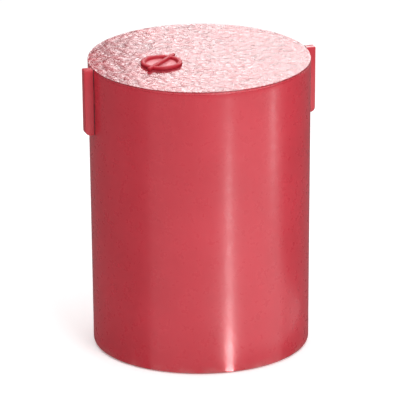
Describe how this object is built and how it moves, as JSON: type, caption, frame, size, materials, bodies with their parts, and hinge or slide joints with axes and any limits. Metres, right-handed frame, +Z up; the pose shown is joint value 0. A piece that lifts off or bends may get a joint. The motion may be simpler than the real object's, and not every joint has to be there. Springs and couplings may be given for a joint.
{
  "type": "water filled barrier",
  "caption": "Tapered plastic drum barrier, filled with water through a top screw plug, with a pebbled lid, two side link lugs and a recessed drain.",
  "frame": {"origin": "centre of the drum's floor, on the ground", "axes": "+Z up along the drum's axis, the two link lugs on the X axis, the drain facing +Y"},
  "size_m": [0.652, 0.6, 0.81],
  "materials": {
    "shell_plastic": "satin red polyethylene",
    "deck_plastic": "coarse pebbled red polyethylene",
    "lug_plastic": "satin red polyethylene",
    "plug_plastic": "satin deep red polyethylene",
    "seal_rubber": "matt",
    "divider_sheet": "plain sheet",
    "grey_nylon": "moulded nylon",
    "zinc_steel": "zinc plated",
    "insert_brass": "turned"
  },
  "bodies": {
    "drum": {"drum_shell": "shell_plastic", "top_deck": "deck_plastic", "deck_seal": "seal_rubber", "divider": "divider_sheet", "ledge_blocks": "shell_plastic", "divider_screws": "zinc_steel", "neck_bush": "grey_nylon", "neck_gasket": "seal_rubber", "neck_locknut": "grey_nylon", "lug_left": "lug_plastic", "lug_right": "lug_plastic", "lug_gasket_left": "seal_rubber", "lug_gasket_right": "seal_rubber", "backing_plate_left": "zinc_steel", "backing_plate_right": "zinc_steel", "lug_screws": "zinc_steel", "lug_washers": "zinc_steel", "lug_nuts": "zinc_steel", "screw_caps": "lug_plastic", "link_inserts_left": "insert_brass", "link_inserts_right": "insert_brass", "drain_bush": "grey_nylon", "drain_gasket": "seal_rubber", "drain_locknut": "grey_nylon"},
    "fill_washer": {"fill_plug_seal": "seal_rubber"},
    "fill_cap": {"fill_plug": "plug_plastic"},
    "drain_washer": {"drain_plug_seal": "seal_rubber"},
    "drain_cap": {"drain_plug": "plug_plastic"}
  },
  "joints": [
    {"name": "fill_plug_rise", "type": "slide", "parent": "drum", "child": "fill_washer", "axis": [0, 0, 1], "range_m": [0, 0.024]},
    {"name": "fill_plug_turn", "type": "hinge", "parent": "fill_washer", "child": "fill_cap", "pos_m": [-0.113, -0.021, 0.8], "axis": [0, 0, 1], "range_deg": [0, 1440]},
    {"name": "drain_plug_rise", "type": "slide", "parent": "drum", "child": "drain_washer", "axis": [0, 1, 0], "range_m": [0, 0.024]},
    {"name": "drain_plug_turn", "type": "hinge", "parent": "drain_washer", "child": "drain_cap", "pos_m": [0, 0.28, 0.058], "axis": [0, 1, 0], "range_deg": [0, 2160]}
  ],
  "couplings": [
    {"joint": "fill_plug_rise", "follows": "fill_plug_turn", "m_per_rad": 0.00095492},
    {"joint": "drain_plug_rise", "follows": "drain_plug_turn", "m_per_rad": 0.00063661}
  ]
}
